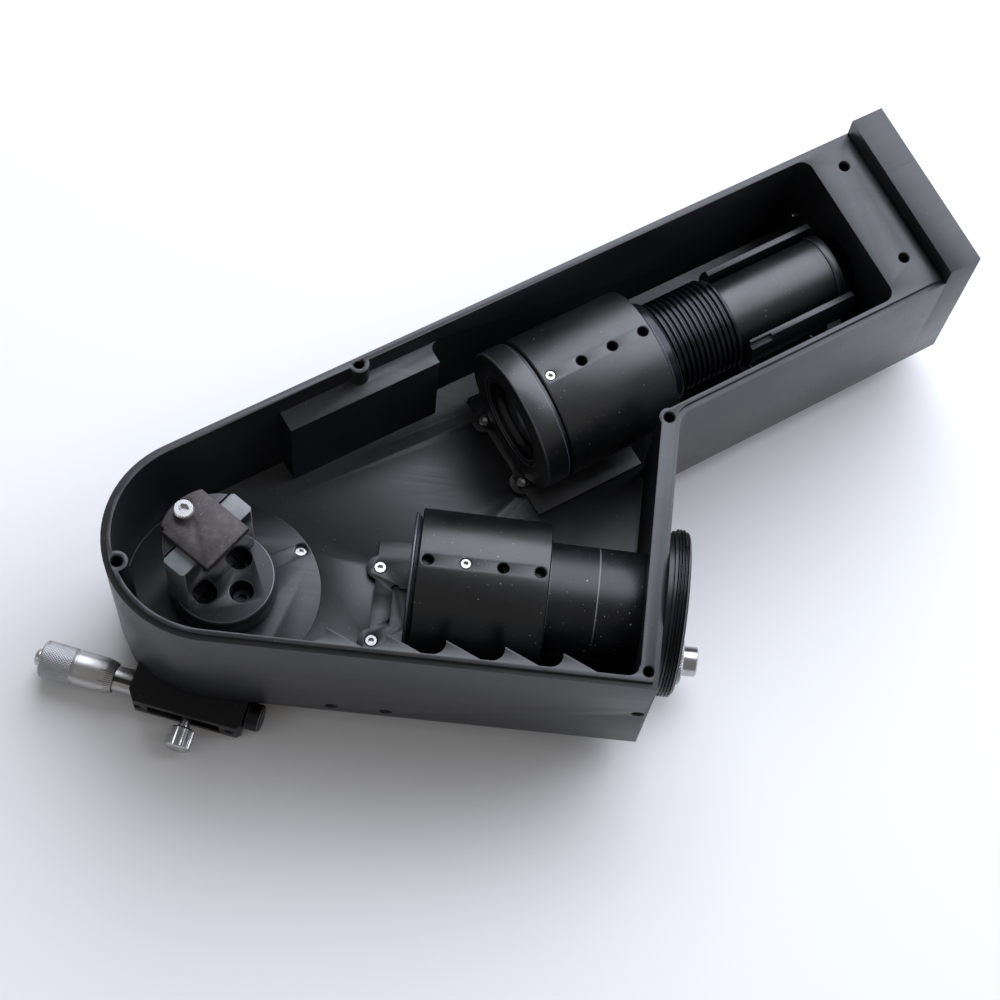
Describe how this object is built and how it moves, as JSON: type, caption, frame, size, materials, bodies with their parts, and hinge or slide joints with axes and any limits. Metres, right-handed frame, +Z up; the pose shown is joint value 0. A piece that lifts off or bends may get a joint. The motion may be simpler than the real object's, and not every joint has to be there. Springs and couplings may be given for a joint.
{
  "type": "grating spectroscope",
  "caption": "Open slit spectroscope: V-shaped milled housing with a collimator arm, a camera arm and a grating on a micrometer-driven rotary table.",
  "frame": {"origin": "rotation axis of the grating table, at the bottom face of the rotary stage", "axes": "+Z up along the table's axis, +X along the camera arm's optical axis towards the camera, +Y towards the collimator arm"},
  "size_m": [0.2855, 0.2282, 0.081],
  "materials": {
    "black_anodised": "satin black anodised aluminium",
    "sleeve_anodised": "satin black anodised, turned",
    "stage_black": "black anodised",
    "steel_screw": "bright stainless",
    "black_screw": "black oxide",
    "nickel": "knurled nickel plate",
    "satin_chrome": "satin chrome",
    "glass_block": "ground glass with a ruled reflecting face",
    "lens_glass": "polished coated glass",
    "worn_plate": "worn brown-grey anodising",
    "bronze": "turned bronze",
    "nylon": "white plastic"
  },
  "bodies": {
    "base": {"housing": "black_anodised", "end_plate": "black_anodised", "end_plate_screws": "black_screw", "stage_plate": "black_anodised", "stage_plate_screws": "steel_screw", "stage_body": "stage_black", "stage_bush": "bronze", "thrust_washer": "nylon", "micrometer_sleeve": "satin_chrome", "bracket_grub_screws": "black_screw", "plunger_body": "stage_black", "plunger_spring": "steel_screw", "camera_saddle": "black_anodised", "camera_saddle_screws": "steel_screw", "camera_sleeve": "sleeve_anodised", "camera_sleeve_grub": "steel_screw", "camera_tube": "sleeve_anodised", "adapter_ring": "stage_black", "collimator_saddle": "black_anodised", "collimator_saddle_screws": "steel_screw", "collimator_sleeve": "sleeve_anodised", "collimator_sleeve_grub": "steel_screw", "collimator_shoulder_ring": "sleeve_anodised", "collimator_cradle": "black_anodised", "cradle_screws": "steel_screw", "slit_cell": "stage_black", "slit_jaws": "steel_screw", "end_wall_grub": "steel_screw"},
    "tangent": {"tangent_arm": "satin_chrome"},
    "thumbscrew": {"lock_thumbscrew": "nickel"},
    "rotor": {"stage_rotor": "satin_chrome", "table_disc": "stage_black", "table_screws": "black_screw", "grating_holder": "stage_black", "grating": "glass_block", "clamp_plate": "worn_plate", "clamp_screw": "steel_screw"},
    "spindle": {"micrometer_spindle": "steel_screw"},
    "thimble": {"micrometer_thimble": "satin_chrome", "micrometer_end_stop": "satin_chrome"},
    "plunger": {"plunger_pin": "steel_screw"},
    "knob": {"side_knob": "nickel"},
    "collimator_focuser": {"collimator_tube": "sleeve_anodised", "collimator_tube_ring": "sleeve_anodised"},
    "collimator_lens_unit": {"collimator_cell": "sleeve_anodised", "collimator_lens": "lens_glass", "collimator_retainer": "stage_black"},
    "camera_lens_unit": {"camera_cell": "stage_black", "camera_lens": "lens_glass", "camera_retainer": "stage_black"}
  },
  "joints": [
    {"name": "thimble_turn", "type": "hinge", "parent": "spindle", "child": "thimble", "pos_m": [-0.00601, -0.03245, 0.007], "axis": [0.9833, -0.1822, 0], "range_deg": [-2880, 2880]},
    {"name": "micrometer_feed", "type": "slide", "parent": "base", "child": "spindle", "axis": [0.9833, -0.1822, 0], "range_m": [-0.0041, 0.0041]},
    {"name": "fine_rotation", "type": "hinge", "parent": "base", "child": "tangent", "pos_m": [0, 0, 0], "axis": [0, 0, 1], "range_deg": [-7.1, 7.1]},
    {"name": "plunger_travel", "type": "slide", "parent": "base", "child": "plunger", "axis": [0.9833, -0.1822, 0], "range_m": [-0.0041, 0.0041]},
    {"name": "table_rotation", "type": "hinge", "parent": "tangent", "child": "rotor", "pos_m": [0, 0, 0], "axis": [0, 0, 1], "continuous": true},
    {"name": "lock_screw_turn", "type": "hinge", "parent": "tangent", "child": "thumbscrew", "pos_m": [-0.00729, -0.03933, 0.007], "axis": [-0.1822, -0.9833, 0], "range_deg": [-180, 180]},
    {"name": "side_knob_turn", "type": "hinge", "parent": "base", "child": "knob", "pos_m": [0.14, -0.0043, 0.0165], "axis": [1, 0, 0], "range_deg": [-180, 180]},
    {"name": "collimator_focus", "type": "slide", "parent": "base", "child": "collimator_focuser", "axis": [0.8141, 0.5807, 0], "range_m": [-0.003, 0.002]},
    {"name": "collimator_lens_set", "type": "slide", "parent": "base", "child": "collimator_lens_unit", "axis": [0.8141, 0.5807, 0], "range_m": [-0.005, 0.0002]},
    {"name": "camera_lens_set", "type": "slide", "parent": "base", "child": "camera_lens_unit", "axis": [1, 0, 0], "range_m": [-0.004, 0.0002]}
  ],
  "couplings": [
    {"joint": "micrometer_feed", "follows": "thimble_turn", "m_per_rad": 0.000079577},
    {"joint": "fine_rotation", "follows": "thimble_turn", "ratio": 0.0024114},
    {"joint": "plunger_travel", "follows": "thimble_turn", "m_per_rad": 0.000079577}
  ]
}
